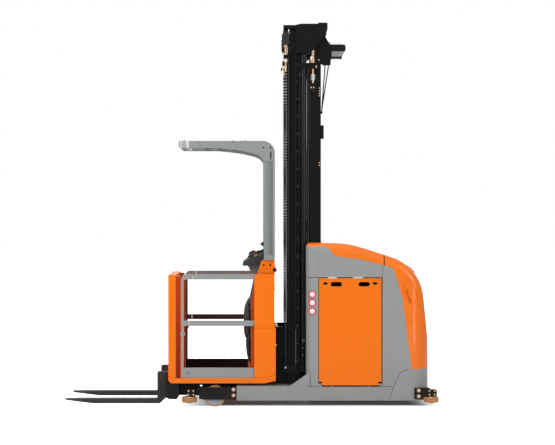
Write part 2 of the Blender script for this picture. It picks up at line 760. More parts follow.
def frame_shape(outer, inner, low, high):
    """Closed frame between an outer and an inner outline with as many points."""
    shape = bmesh.new()
    loops = [[shape.verts.new((u, level, v)) for u, v in line]
             for level, line in ((low, outer), (high, outer), (high, inner), (low, inner))]
    for loop, after in zip(loops, loops[1:] + loops[:1]):
        for here in range(len(outer)):
            there = (here + 1) % len(outer)
            shape.faces.new((loop[here], loop[there], after[there], after[here]))
    bmesh.ops.recalc_face_normals(shape, faces=shape.faces)
    return shape


for side, sign in reversed(sides):
    rims, marks = [], []
    for x in (0.733, 0.972):
        low, high = depths(sign, 0.4665, 0.4888)
        rims.append(frame_shape(slot_outline(x, grip_r - 0.0004), slot_outline(x, grip_r - 0.0034),
                                low, high))
    for x in (0.640, 1.065):
        low, high = depths(sign, 0.4876, 0.4885)
        marks.append(flat_shape([(x - 0.027, 1.061), (x, 1.045), (x + 0.027, 1.061), (x, 1.077)],
                                low, high))
    body = f"battery_door_{side}"
    add_plain(f"grip_rims_{side}", rims, body, "black_plastic", seal_rubber)
    add_plain(f"door_marks_{side}", marks, body, "black_plastic", print_black)


# Battery: one steel tray between the doors, seen only through the grips and when a door is down.
# It is a dull dark grey box with a folded lid.

battery_grey = enamel("battery_tray_enamel", (0.012, 0.012, 0.013), 0.6, mottle=0.3, dust=0.1)
dress(battery_grey, "battery")


# Top cover and rear hood: deep-drawn orange panels with a soft sheen. The hood has short louvres
# in a shallow lens-shaped field, and a glossy black lamp strip is let into its upper rear edge.

orange_gloss = enamel("orange_gloss", orange_rgb, 0.36, mottle=0.035, dust=0.05, scuff=0.0,
                      coat_weight=0.55, coat_roughness=0.06)
dress(orange_gloss, "top_cover", "rear_hood")
lamp_black = enamel("lamp_strip_gloss", (0.004, 0.004, 0.005), 0.12, mottle=0.1, dust=0.0, scuff=0.0)
dress(lamp_black, "rear_lamp")
louvre_shade = enamel("louvre_shade", (0.36, 0.060, 0.004), 0.6, mottle=0.1, dust=0.0, scuff=0.0)
louvre_back, louvre_ticks = [], []
for sign in (-1, 1):
    low, high = depths(sign, 0.4700, 0.4832)
    for row in range(6):
        x0, z0 = 1.353 - 0.007 * row, 0.893 + 0.025 * row
        louvre_back.append(box_shape((x0 + 0.0006, low, z0 + 0.0006), (x0 + 0.0294, high, z0 + 0.0114)))
    low, high = depths(sign, 0.4830, 0.4848)
    for row in range(12):
        x0, z0 = 1.3585 - 0.0030 * row, 0.896 + 0.0097 * row
        louvre_ticks.append(flat_shape([(x0, z0), (x0 + 0.017, z0 + 0.002), (x0 + 0.017, z0 + 0.0055),
                                        (x0, z0 + 0.0035)], low, high))
add_plain("louvre_backs", louvre_back, "chassis", "orange_paint", orange_gloss)
add_plain("louvre_ticks", louvre_ticks, "chassis", "orange_paint", louvre_shade)
split_half, split_low, split_top, split_r = 0.4862, 1.2210, 1.3072, 0.067
split_line = [(-split_half, split_low), (split_half, split_low)]
for centre, start in ((split_half - split_r, 0), (split_r - split_half, 90)):
    for n in range(7):
        angle = radians(start + 15 * n)
        split_line.append((centre + split_r * cos(angle), split_top - split_r + split_r * sin(angle)))
add_plain("cover_split_seal", [flat_shape(split_line, 1.1415, 1.1485, "X")], "chassis",
          "mat_rubber", seal_rubber)
lamp_band = flat_shape([(1.3500, 1.2100), (1.3565, 1.2170), (1.3865, 1.1905), (1.4140, 1.1590),
                        (1.4070, 1.1530), (1.3790, 1.1840)], -0.405, 0.405)
add_plain("rear_lamp_band", [lamp_band], "chassis", "black_plastic", lamp_black)


# Drive unit: upright motor on a turntable over the driven wheel, under the hood. Motor housing
# and fork are black castings; the wheel has a thick polyurethane tyre on a grey iron hub.

dress(black_cast, "drive_turntable")
dress(wheel_pu, "drive_wheel_tyre")
dress(hub_grey, "drive_wheel_hub")
hub_bolts = []
for step in range(8):
    angle = tau * step / 8
    for sign in (-1, 1):
        place = (1.32 + 0.075 * cos(angle), sign * 0.065, 0.175 + 0.075 * sin(angle))
        hub_bolts.append((place, (0, sign, 0)))
fasteners("drive_wheel_nuts", "drive_wheel", "steel", axle_steel, hub_bolts, 0.009, 0.005)


# Outer mast: rolled steel channels with cross ties, painted black. Their running faces are wiped
# with grease, the cylinder feet stand on brackets, and small clamps and bolts sit on the rear edge.

black_mast = enamel("black_mast_enamel", (0.0036, 0.0036, 0.0040), 0.34, mottle=0.7, dust=0.04, scuff=0.02)
dress(black_mast, "outer_mast")
clamp_gold = [((0.594, -0.3605, z), near) for z in (2.748, 2.724, 2.703, 2.684, 2.103, 2.081)]
clamp_gold += [((x, -0.3722, 2.754), near) for x in (0.522, 0.543)]
fasteners("outer_mast_clamps", "chassis", "gold_steel", bolt_gold, clamp_gold, 0.0042, 0.004)
fasteners("collar_bolts", "chassis", "gold_steel", bolt_gold,
          both_sides([((0.561, -0.3785, 2.932), near)]), 0.008, 0.006)
boxes = []
for sign in (-1, 1):
    low, high = depths(sign, 0.361, 0.372)
    boxes.append(box_shape((0.518, low, 2.715), (0.555, high, 2.764), 0.002, 1))
    boxes.append(box_shape((0.556, low, 2.722), (0.566, high, 2.758), 0.001, 1))
add_smooth("mast_switch_blocks", boxes, "chassis", "black_plastic", print_black)


# Lift cylinders: black steel tubes beside the columns with a turned gland at the top, a union near
# the foot and a rigid pressure pipe that runs down into the chassis. The rods are hard chromed.

black_tube = enamel("black_tube_enamel", (0.012, 0.012, 0.0125), 0.22, mottle=0.2, dust=0.05, scuff=0.0)
dress(black_tube, "lift_cylinder_barrels")
chrome = enamel("hard_chrome", (0.62, 0.62, 0.63), 0.12, mottle=0.05, dust=0.0, scuff=0.0, metallic=1.0)
dress(chrome, "lift_cylinder_rods")


def pipe(route, radius, sides=12):
    """Round pipe along a smooth route, as a closed mesh."""
    curve = bpy.data.curves.new("route", "CURVE")
    curve.dimensions = "3D"
    curve.bevel_depth = radius
    curve.bevel_resolution = max(1, sides // 4 - 1)
    curve.use_fill_caps = True
    spline = curve.splines.new("NURBS")
    spline.points.add(len(route) - 1)
    for point, place in zip(spline.points, route):
        point.co = (*place, 1)
    spline.order_u = 3
    spline.use_endpoint_u = True
    spline.resolution_u = 6
    holder = bpy.data.objects.new("route", curve)
    mesh = bpy.data.meshes.new_from_object(holder)
    bpy.data.objects.remove(holder)
    bpy.data.curves.remove(curve)
    shape = bmesh.new()
    shape.from_mesh(mesh)
    bpy.data.meshes.remove(mesh)
    bmesh.ops.remove_doubles(shape, verts=shape.verts, dist=1e-6)
    bmesh.ops.recalc_face_normals(shape, faces=shape.faces)
    return shape


plumbing, unions = [], []
for sign in (-1, 1):
    plumbing.append(pipe([(0.455, sign * 0.352, 0.560), (0.455, sign * 0.372, 0.560),
                          (0.450, sign * 0.384, 0.530), (0.447, sign * 0.382, 0.420),
                          (0.458, sign * 0.366, 0.330), (0.480, sign * 0.352, 0.282)], 0.0065))
    for x0, x1, z0, z1, inner, outer in ((0.443, 0.467, 0.548, 0.572, 0.3565, 0.386),
                                         (0.440, 0.454, 0.488, 0.503, 0.376, 0.391),
                                         (0.441, 0.455, 0.430, 0.446, 0.376, 0.391)):
        y0, y1 = depths(sign, inner, outer)
        unions.append(box_shape((x0, y0, z0), (x1, y1, z1), 0.002, 1))
add_smooth("lift_pipes", plumbing, "chassis", "black_paint", black_tube)
risers, valve_blocks, sleeves = [], [], []
for sign in (-1, 1):
    risers.append(turned([(0.0005, 0.0), (0.0119, 0.0), (0.0119, 2.3935), (0.0005, 2.3935)],
                         (0.4948, sign * 0.345, 0.5215), "Z", 18))
    sleeves.append(turned([(0.0228, 0.0), (0.0275, 0.0), (0.0275, 0.125), (0.0228, 0.125)],
                          (0.455, sign * 0.330, 2.9245), "Z", 28))
    low, high = depths(sign, 0.306, 0.354)
    valve_blocks.append(box_shape((0.430, low, 0.285), (0.508, high, 0.496), 0.003, 1))
add_smooth("cylinder_risers", risers, "chassis", "black_paint", black_tube)
add_smooth("valve_blocks", valve_blocks, "chassis", "black_paint", black_cast)
add_smooth("rod_sleeves", sleeves, "mast_inner", "black_paint", black_tube)
union_grey = enamel("union_zinc", (0.09, 0.09, 0.088), 0.4, mottle=0.3, dust=0.1, metallic=0.6)
add_smooth("lift_pipe_unions", unions, "chassis", "steel", union_grey)


# Inner mast: sliding columns with rollers in the outer channels, their webs pierced by a row of
# countersunk screws that hold the wear strips. Black enamel, greased along the front flange.

dress(black_mast, "inner_mast")
screw_brown = enamel("wear_strip_screw", (0.19, 0.15, 0.12), 0.4, mottle=0.2, dust=0.0, metallic=0.5)
web_face = -0.336
web_screws = [((0.4045, web_face, 2.958 - 0.1515 * n), near) for n in range(18)]
fasteners("wear_strip_screws", "mast_inner", "steel", screw_brown, both_sides(web_screws), 0.0042, 0.0035)


# Mast head: welded plates and beams that carry the chain pulleys, the lamp and the cable arm.
# It is black like the columns, with bolt heads where the pulley pins go through.

dress(black_mast, "mast_head")
dress(axle_steel, "head_pulleys")
head_bolts = [((x, -0.400, z), near) for x,
              z in ((0.4625, 3.180), (0.600, 3.262), (0.600, 3.200), (0.640, 3.262))]
fasteners("head_plate_bolts", "mast_inner", "black_paint", black_tube, both_sides(head_bolts), 0.011, 0.006)


# Chains: leaf and roller chain of oiled dark steel. Links of two plates, wide and narrow in turn,
# share a riveted pin. The front chain hangs on threaded rods, the lifting chain turns over a pulley.


def chain_group():
    """Oiled chain steel: black eyes, and waists rubbed brown up to a height."""
    tree, inp, place, axes = new_group(
        "oiled_chain", {"Colour": mid_grey, "Bare": (1, 1, 1, 1), "Bare Below": 9.0})
    waist = tree.nodes.new("ShaderNodeAttribute")
    waist.attribute_name = "bare"
    low_down = maths(tree, "LESS_THAN", axes["Z"], inp["Bare Below"])
    patchy = ramp(tree, noise(tree, place, 120, 3), -0.3, 0.1)
    rubbed = times(tree, times(tree, waist.outputs["Fac"], patchy), low_down)
    return end_group(tree, Colour=blend_colour(tree, rubbed, inp["Colour"], inp["Bare"]),
                     Roughness=plus(tree, times(tree, rubbed, 0.2), 0.3), Height=noise(tree, place, 700, 2))


oiled_chain = chain_group()
chain_black = (0.0035, 0.0030, 0.0028, 1)
front_steel = skinned("front_chain_steel", oiled_chain,
                      {"Colour": chain_black, "Bare": (0.11, 0.070, 0.050, 1), "Bare Below": 9.0},
                      0.0001, specular_ior_level=0.2)
lift_steel = skinned("lift_chain_steel", oiled_chain,
                     {"Colour": chain_black, "Bare": (0.26, 0.19, 0.145, 1), "Bare Below": 0.66},
                     0.0001, specular_ior_level=0.2)


def link_tree():
    """Links along a path that lies in a plane across the truck's width."""
    tree, inp = tree_of_nodes("chain_links", (
        ("Pitch", "NodeSocketFloat"), ("Height", "NodeSocketFloat"), ("Plate", "NodeSocketFloat"),
        ("Width", "NodeSocketFloat"), ("Material", "NodeSocketMaterial"),
    ))
    pitch, height, plate, width = (inp[label] for label in ("Pitch", "Height", "Plate", "Width"))
    round_plate = cylinder(tree, 10, times(tree, height, 0.5), plate)
    waist = tree.nodes.new("GeometryNodeMeshCube")
    waist_size = vector_of(tree, X=times(tree, height, 0.36), Y=times(tree, plate, 0.98), Z=pitch)
    tree.links.new(waist_size, waist.inputs["Size"])
    marked = tree.nodes.new("GeometryNodeStoreNamedAttribute")
    marked.data_type = "FLOAT"
    marked.domain = "POINT"
    marked.inputs["Name"].default_value = "bare"
    marked.inputs["Value"].default_value = 1.0
    tree.links.new(waist.outputs["Mesh"], marked.inputs["Geometry"])
    across = (pi / 2, 0, 0)
    eyes = [moved(tree, round_plate, vector_of(tree, Z=times(tree, pitch, way)), across, (1.0, 0.74, 1.0))
            for way in (-0.5, 0.5)]
    link = joined(tree, (marked.outputs[0], *eyes))
    pin = moved(tree, cylinder(tree, 8, times(tree, height, 0.2), width),
                vector_of(tree, Z=times(tree, pitch, -0.5)), across)
    path = tree.nodes.new("GeometryNodeMeshToCurve")
    tree.links.new(inp["Geometry"], path.inputs["Mesh"])
    points = tree.nodes.new("GeometryNodeCurveToPoints")
    points.mode = "LENGTH"
    tree.links.new(path.outputs[0], points.inputs["Curve"])
    tree.links.new(pitch, points.inputs["Length"])
    turn = aligned(tree, points.outputs["Tangent"], "Y")
    odd = maths(tree, "MODULO", tree.nodes.new("GeometryNodeInputIndex").outputs[0], 2)
    rows = []
    for share, chosen in ((0.40, odd), (0.22, maths(tree, "SUBTRACT", 1, odd))):
        cheeks = [moved(tree, link, vector_of(tree, Y=times(tree, width, way))) for way in (-share, share)]
        rows.append(on_points(tree, points.outputs["Points"], joined(tree, (*cheeks, pin)),
                              Selection=chosen, Rotation=turn))
    return close_tree(tree, inp, joined(tree, rows))


chain_links = link_tree()


def chain_piece(name, node, routes, pitch, height, finish):
    """Chain that follows each route, and stretches between two bodies as the carriage travels."""
    points, edges = [], []
    for route in routes:
        edges += [(len(points) + n, len(points) + n + 1) for n in range(len(route) - 1)]
        points += route
    mesh = bpy.data.meshes.new(name + "_route")
    mesh.from_pydata(points, edges, [])
    values = {"Pitch": pitch, "Height": height, "Plate": 0.0027, "Width": 0.0125, "Material": finish}
    piece = bpy.data.objects.new(name, run_tree(name, mesh, chain_links, values))
    scene.collection.objects.link(piece)
    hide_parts(node)
    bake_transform(piece)


link_pitch = 0.0254
front_x, front_y = 0.302, 0.345
lift_x, lift_y, anchor_x = 0.387, 0.380, 0.5365
pulley_z = 3.180
pulley_x, pulley_r = (lift_x + anchor_x) / 2, (anchor_x - lift_x) / 2
front_routes = [[(front_x, sign * front_y, 0.3955), (front_x, sign * front_y, 2.8955)] for sign in (-1, 1)]
chain_piece("front_leaf_chains", "front_chains", front_routes, link_pitch, 0.0250, front_steel)
lift_routes = []
for sign in (-1, 1):
    over = [(pulley_x - pulley_r * cos(pi * n / 16), sign * lift_y, pulley_z + pulley_r * sin(pi * n / 16))
            for n in range(17)]
    lift_routes.append([(lift_x, sign * lift_y, 0.358)] + over)
chain_piece("lifting_leaf_chains", "lifting_chains", lift_routes, link_pitch, 0.0165, lift_steel)
anchor_routes = [[(anchor_x, sign * lift_y, 3.078), (anchor_x, sign * lift_y, 3.1795)] for sign in (-1, 1)]
chain_piece("anchor_leaf_chains", "chain_anchor_run", anchor_routes, link_pitch, 0.0165, lift_steel)


# Chain anchors: threaded rods with stacked hexagon nuts and long link plates. The rods and most
# nuts are yellow-passivated, the link plates are oiled black and some nuts are plain bright zinc.


def anchor_group():
    """Plated anchor parts by height: thread below, dark link plates above, one zinc nut band."""
    tree, inp, place, axes = new_group("plated_anchor", {
        "Thread": mid_grey, "Plate": (0, 0, 0, 1), "Plate Low": 3.12, "Zinc Low": 2.98, "Zinc High": 3.003,
    }, metallic=True)
    tone = ramp(tree, noise(tree, place, 60, 3), -0.2, 0.3)
    brushed = blend_colour(tree, tone, inp["Thread"], (0.35, 0.17, 0.08, 1))
    zinc = times(tree, maths(tree, "GREATER_THAN", axes["Z"], inp["Zinc Low"]),
                 maths(tree, "LESS_THAN", axes["Z"], inp["Zinc High"]))
    plated = blend_colour(tree, zinc, brushed, (0.60, 0.60, 0.58, 1))
    dark = maths(tree, "GREATER_THAN", axes["Z"], inp["Plate Low"])
    bright = maths(tree, "SUBTRACT", 1, dark)
    thread = tree.nodes.new("ShaderNodeTexWave")
    thread.bands_direction = "Z"
    thread.inputs["Scale"].default_value = 130
    tree.links.new(place, thread.inputs["Vector"])
    return end_group(tree, Colour=blend_colour(tree, dark, plated, inp["Plate"]),
                     Roughness=plus(tree, times(tree, dark, 0.1), 0.3), Metallic=times(tree, bright, 0.5),
                     Height=times(tree, thread.outputs["Fac"], bright))


plated_anchor = anchor_group()
dark_plate = (0.012, 0.011, 0.011, 1)
front_anchor = skinned("front_anchor_plating", plated_anchor,
                       {"Thread": (0.78, 0.52, 0.33, 1), "Plate": dark_plate, "Plate Low": 3.1195,
                        "Zinc Low": 2.977, "Zinc High": 3.0025}, 0.0004, specular_ior_level=0.4)
rear_anchor = skinned("rear_anchor_plating", plated_anchor,
                      {"Thread": (0.72, 0.47, 0.29, 1), "Plate": dark_plate, "Plate Low": 3.2,
                       "Zinc Low": 2.80, "Zinc High": 2.87}, 0.0004, specular_ior_level=0.4)
dress(front_anchor, "chain_anchors")
dress(rear_anchor, "rear_chain_anchors")
locks = []
for sign in (-1, 1):
    for x in (0.276, 0.327):
        y0, y1 = depths(sign, 0.337, 0.353)
        locks.append(box_shape((x - 0.005, y0, 2.956), (x + 0.005, y1, 2.984), 0.002, 1))
    y0, y1 = depths(sign, 0.343, 0.347)
    locks.append(box_shape((0.276, y0, 2.966), (0.327, y1, 2.974), 0.0005, 1))
add_smooth("anchor_locks", locks, "mast_inner", "black_paint", black_tube)


# Mast lamp: a flat black work lamp with cooling ribs under the head, throwing its light down on
# the battery side through a frosted lens, held between two folded brackets.


def mould_group():
    """Moulded plastic: fine spark-eroded grain and a cloudy tone."""
    tree, inp, place, axes = new_group("moulded_plastic", {"Colour": (0, 0, 0, 1), "Grain": 900.0})
    cloud = noise(tree, place, 7, 3)
    grain = tree.nodes.new("ShaderNodeTexVoronoi")
    tree.links.new(place, grain.inputs["Vector"])
    tree.links.new(inp["Grain"], grain.inputs["Scale"])
    return end_group(tree, Colour=clouded(tree, inp["Colour"], times(tree, cloud, 0.5)),
                     Roughness=plus(tree, times(tree, cloud, 0.2), 0.45), Height=grain.outputs["Distance"])


moulded_plastic = mould_group()


def moulded(name, colour, grain=900.0, **constants):
    return skinned(name, moulded_plastic, {"Colour": (*colour, 1), "Grain": grain}, 0.00012, **constants)


lamp_plastic = moulded("lamp_housing", (0.013, 0.013, 0.014))
lens_frost = moulded("frosted_lens", (0.42, 0.42, 0.42), 500.0, specular_ior_level=0.5)
dress(lamp_plastic, "mast_lamp")
dress(lens_frost, "mast_lamp_lens")
ribs = [box_shape((0.600 + 0.018 * n, -0.052, 3.1565), (0.604 + 0.018 * n, 0.052, 3.1665), 0.0012, 1)
        for n in range(12)]
add_smooth("lamp_cooling_ribs", ribs, "mast_inner", "black_plastic", lamp_plastic)
fasteners("lamp_bracket_bolts", "mast_inner", "gold_steel", bolt_gold,
          both_sides([((0.698, -0.068, 3.170), near), ((0.600, -0.068, 3.02), near)]), 0.006, 0.004)


# Mast cables: two straight black cables from the head's arm down to a clip on the fixed mast.
# They stay taut and lengthen with the lift, so each is one rubber-covered run.

cable_rubber = moulded("cable_rubber", (0.012, 0.012, 0.012), 1500.0)
dress(cable_rubber, "mast_cables")


# Cab platform: folded orange skirt round the floor, with pressed seams and small fixing holes.
# The floor inside is a black rubber mat moulded with rows of round studs.

dress(orange_enamel, "platform")
seam_dark = enamel("seam_shadow", (0.30, 0.045, 0.004), 0.6, mottle=0.1, dust=0.1, scuff=0.0)
skirt_face = -0.460
seams = []
for low, high in sided(skirt_face - 0.0006, skirt_face + 0.001):
    seams.append(box_shape((-0.712, low, 0.2530), (-0.640, high, 0.2548)))
    seams.append(flat_shape([(0.028, 0.2500), (0.110, 0.2505), (0.160, 0.2570), (0.212, 0.2700),
                             (0.212, 0.2718), (0.160, 0.2588), (0.110, 0.2523), (0.028, 0.2518)],
                            low, high))
    seams.append(box_shape((0.148, low, 0.233), (0.152, high, 0.237)))
add_plain("skirt_seams", seams, "cab", "orange_paint", seam_dark)
mat_rubber = moulded("floor_mat_rubber", (0.020, 0.016, 0.015), 260.0)
dress(mat_rubber, "floor_mat")


def stud_tree():
    """Round studs on a grid, every second row shifted by half a pitch."""
    tree, inp = tree_of_nodes("mat_studs", (
        ("Radius", "NodeSocketFloat"), ("Height", "NodeSocketFloat"), ("Material", "NodeSocketMaterial"),
    ))
    stud = drum(tree, 8, inp["Radius"], inp["Height"], times(tree, inp["Height"], 0.5))
    return close_tree(tree, inp, on_points(tree, inp["Geometry"], stud))


mat_studs = stud_tree()
stud_points = bpy.data.meshes.new("stud_points")
stud_pitch, mat_top = 0.024, 0.2495
stud_points.from_pydata(
    [(-0.578 + stud_pitch * (i + 0.5 * (j % 2)), -0.396 + stud_pitch * j, mat_top)
     for i in range(22) for j in range(34)], [], [])
add_piece("floor_studs",
          run_tree("floor_studs", stud_points, mat_studs,
                   {"Radius": 0.0075, "Height": 0.0014, "Material": mat_rubber}),
          "cab", "mat_rubber")


# Load-side wall, mast-side panels, cabinet and gussets: orange folded sheet, seamed and screwed.
# The side panels carry two flat screws each, a cross seam and clip nuts along their rear edge.

dress(orange_enamel, "mast_side_panels", "guard_gussets")
wall_banded = banded("wall_rear_band", orange_rgb, (0.53, 0.045, 0.0015), (0.24, 0.008, 0.0005),
                     -0.646, 0.0005, -0.600, 0.244, 1.120, coat_weight=0.16, coat_roughness=0.10)
dress(wall_banded, "load_side_wall")
cabinet_orange = enamel("cabinet_orange", (0.55, 0.070, 0.003), 0.40, mottle=0.05, dust=0.10, scuff=0.0)
dress(cabinet_orange, "mast_cabinet")
returns = []
for low, high in sided(-0.440, -0.400):
    returns.append(box_shape((-0.6070, low, 0.250), (-0.6003, high, 1.090)))
add_plain("corner_returns", returns, "cab", "orange_paint", orange_enamel)
panel_screw = enamel("panel_screw", (0.60, 0.12, 0.03), 0.4, mottle=0.2, dust=0.0)
fasteners("side_panel_screws", "cab", "orange_paint", panel_screw,
          both_sides([((x, skirt_face, z), near) for x, z in ((0.165, 1.120), (0.155, 0.770))]),
          0.0045, 0.0016)
clip_nuts = [((0.2075, -0.388, z), (1, 0, 0)) for z in (1.350, 1.320, 1.290)]
edge_nuts = [((0.2035, -0.430, z), (1, 0, 0)) for z in (1.040, 1.010, 0.720)]
fasteners("edge_clip_nuts", "cab", "black_paint", black_tube, both_sides(clip_nuts + edge_nuts),
          0.006, 0.005)
buffers, groove_lines, nut_plates = [], [], []
for sign in (-1, 1):
    buffers.append(turned([(0.0005, -0.006), (0.0180, -0.006), (0.0180, 0.004), (0.0150, 0.007),
                           (0.0005, 0.007)], (0.2070, sign * 0.376, 1.173), "Y", 28))
    low, high = depths(sign, 0.4606, 0.459)
    groove_lines.append(box_shape((0.0285, low, 0.6742), (0.2025, high, 0.6762)))
    low, high = depths(sign, 0.3756, 0.3744)
    groove_lines.append(box_shape((0.0950, low, 1.1435), (0.2000, high, 1.1480)))
    low, high = depths(sign, 0.3638, 0.3648)
    for x in (0.109, 0.1675):
        nut_plates.append(flat_shape(disc_outline(x, 1.2145, 0.0125, 20), low, high))
add_smooth("gusset_buffers", buffers, "cab", "mat_rubber", seal_rubber)
add_plain("side_panel_seams", groove_lines, "cab", "orange_paint", seam_dark)
add_plain("gusset_nut_plates", nut_plates, "cab", "black_plastic", print_black)


# Knee pad: a grey moulded backboard with two padded cushions in brown-grey vinyl, the upper one
# thick and crowned, the lower one thin and tapered, each with a welt sewn round its front edge.


def vinyl_group():
    """Upholstery vinyl: leather grain, soft creases and rubbed crowns."""
    tree, inp, place, axes = new_group(
        "upholstery_vinyl", {"Colour": (0, 0, 0, 1), "Crease": (0, 0, 0, 1), "Grain": 420.0})
    grain = tree.nodes.new("ShaderNodeTexVoronoi")
    grain.feature = "DISTANCE_TO_EDGE"
    tree.links.new(place, grain.inputs["Vector"])
    tree.links.new(inp["Grain"], grain.inputs["Scale"])
    folds = noise(tree, place, 14, 4)
    shade = ramp(tree, folds, -0.25, 0.2)
    hollow = maths(tree, "MINIMUM", times(tree, grain.outputs["Distance"], 6), 1)
    return end_group(tree, Colour=blend_colour(tree, shade, inp["Crease"], inp["Colour"]),
                     Roughness=plus(tree, times(tree, folds, 0.25), 0.48),
                     Height=plus(tree, hollow, times(tree, folds, 3)))


upholstery_vinyl = vinyl_group()
pad_vinyl = skinned("pad_vinyl", upholstery_vinyl,
                    {"Colour": (0.075, 0.062, 0.060, 1), "Crease": (0.045, 0.036, 0.034, 1)}, 0.0004,
                    specular_ior_level=0.3)


def board_group():
    """Two-tone moulding: the exposed top is lighter than the part behind the cushions."""
    tree, inp, place, axes = new_group("two_tone_board", {"Upper": (0, 0, 0, 1), "Lower": (0, 0, 0, 1)})
    high = ramp(tree, axes["Z"], 0.86, 0.93)
    return end_group(tree, Colour=blend_colour(tree, high, inp["Lower"], inp["Upper"]),
                     Roughness=plus(tree, noise(tree, place, 30, 2), 0.95),
                     Height=noise(tree, place, 600, 2))


board_plastic = skinned("pad_board", board_group(),
                        {"Upper": (0.17, 0.19, 0.21, 1), "Lower": (0.014, 0.018, 0.022, 1)}, 0.00015)
pad_half = 0.186
board_line = [(0.0209, 1.0735), (-0.0130, 0.915), (-0.0180, 0.902), (-0.0180, 0.378), (-0.0150, 0.364),
              (-0.0006, 0.3625), (-0.0006, 0.890), (0.0268, 1.0735)]
board = flat_shape(board_line, -0.1895, 0.1895)
bmesh.ops.bevel(board, geom=[e for e in board.edges if abs(e.verts[0].co.y - e.verts[1].co.y) < 1e-6],
                offset=0.0015, segments=2, profile=0.5, affect="EDGES")
board_piece = add_smooth("knee_board", [board], "cab", "pad_foam", board_plastic)
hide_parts("knee_pad")


def cushion_form(rows, depth, half, corner=0.05, across=30):
    """Closed cushion from (front x, z) rows on a flat back, its side edges drawn in."""
    shape = bmesh.new()
    fronts, backs = [], []
    for x, z in rows:
        front, back = [], []
        for n in range(across + 1):
            share = 2 * n / across - 1
            edge = max(0.0, abs(share) - (1 - corner / half)) / (corner / half)
            pull = 1 - (1 - edge ** 2) ** 0.5 if edge < 1 else 1.0
            front.append(shape.verts.new((x + (depth - x) * pull * 0.82, share * half, z)))
            back.append(shape.verts.new((depth, share * half, z)))
        fronts.append(front)
        backs.append(back)
    for grid in (fronts, backs):
        for low, high in zip(grid, grid[1:]):
            for n in range(across):
                shape.faces.new((low[n], low[n + 1], high[n + 1], high[n]))
    for row in (0, -1):
        for n in range(across):
            shape.faces.new((fronts[row][n], backs[row][n], backs[row][n + 1], fronts[row][n + 1]))
    for side in (0, -1):
        for low in range(len(rows) - 1):
            shape.faces.new((fronts[low][side], fronts[low + 1][side], backs[low + 1][side],
                             backs[low][side]))
    bmesh.ops.recalc_face_normals(shape, faces=shape.faces)
    return shape


def filled(name, shape, cap, voxel=0.0055, frames=20, pressure=4.0):
    """Plumps a cushion with a short cloth run, no point moving more than the cap."""
    mesh = bpy.data.meshes.new(name)
    shape.to_mesh(mesh)
    shape.free()
    cushion = bpy.data.objects.new(name, mesh)
    scene.collection.objects.link(cushion)
    remesh = cushion.modifiers.new("remesh", "REMESH")
    remesh.mode = "VOXEL"
    remesh.voxel_size = voxel
    bpy.context.view_layer.update()
    even = bpy.data.meshes.new_from_object(cushion.evaluated_get(bpy.context.evaluated_depsgraph_get()))
    cushion.modifiers.clear()
    cushion.data = even
    rest = [vert.co.copy() for vert in even.vertices]
    held = cushion.vertex_groups.new(name="back")
    deep = max(point.x for point in rest)
    held.add([n for n, point in enumerate(rest) if point.x > deep - 0.004], 1.0, "REPLACE")
    cloth = cushion.modifiers.new("cloth", "CLOTH")
    cloth.settings.use_pressure = True
    cloth.settings.uniform_pressure_force = pressure
    cloth.settings.effector_weights.gravity = 0
    cloth.settings.vertex_group_mass = "back"
    for frame_number in range(1, frames + 1):
        scene.frame_set(frame_number)
    moved = bpy.data.meshes.new_from_object(
        cushion.evaluated_get(bpy.context.evaluated_depsgraph_get()))
    cushion.modifiers.clear()
    for vert, start in zip(moved.vertices, rest):
        step = vert.co - start
        if step.length > cap:
            vert.co = start + step * (cap / step.length)
    cushion.data = moved
    scene.frame_set(1)
    finer = cushion.modifiers.new("finer", "SUBSURF")
    finer.levels = finer.render_levels = 1
    bpy.context.view_layer.update()
    result = bpy.data.meshes.new_from_object(cushion.evaluated_get(bpy.context.evaluated_depsgraph_get()))
    bpy.data.objects.remove(cushion)
    result.name = name
    result.polygons.foreach_set("use_smooth", [True] * len(result.polygons))
    return result


upper_rows = [(-0.044, 0.556), (-0.0505, 0.566), (-0.0555, 0.590), (-0.0600, 0.640), (-0.0610, 0.700),
              (-0.0600, 0.760), (-0.0565, 0.815), (-0.049, 0.855), (-0.040, 0.882), (-0.026, 0.904)]
lower_rows = [(-0.0205, 0.368), (-0.0255, 0.385), (-0.0325, 0.415), (-0.0385, 0.450), (-0.0430, 0.490),
              (-0.0450, 0.525), (-0.0440, 0.550)]
for name, rows, cap in (("knee_cushion_upper", upper_rows, 0.005),
                        ("knee_cushion_lower", lower_rows, 0.003)):
    cushion_mesh = filled(name, cushion_form(rows, -0.0185, pad_half), cap)
    cushion = add_piece(name, cushion_mesh, "cab", "pad_foam", pad_vinyl)
    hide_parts("knee_pad")
welts = []
for rows in (upper_rows, lower_rows):
    for sign in (-1, 1):
        welts.append(pipe([(-0.0215, sign * 0.1875, z) for x, z in rows], 0.0022, 8))
add_smooth("knee_pad_welts", welts, "cab", "pad_foam", pad_vinyl)


# Console: a sloping black moulded desk on a ribbed grey pedestal. Its raised middle has a lighter
# top shell with a screen, rows of keys, a lift switch and a red stop button on a yellow collar.

console_black = moulded("console_moulding", (0.042, 0.046, 0.053))
shell_grey = moulded("console_shell_grey", (0.10, 0.108, 0.115), 700.0)
pedestal_grey = moulded("pedestal_grey", (0.28, 0.265, 0.26), 700.0)
knob_black = moulded("knob_black", (0.070, 0.074, 0.080), 1200.0)
stop_red = moulded("stop_button_red", (0.62, 0.010, 0.012), 1500.0, specular_ior_level=0.5)
collar_yellow = moulded("stop_collar_yellow", (0.80, 0.52, 0.02), 1500.0)
screen_glass = enamel("screen_glass", (0.006, 0.008, 0.012), 0.08, mottle=0.0, dust=0.0, scuff=0.0,
                      specular_ior_level=0.5)
dress(console_black, "console", "display")
dress(pedestal_grey, "console_pedestal")
dress(knob_black, "steering_knob")
desk_slope = Matrix.Rotation(-radians(27.63), 4, "Y")
slope_cos, slope_tan = 0.886, 0.5236
desk_base, desk_front = 1.206, 0.076


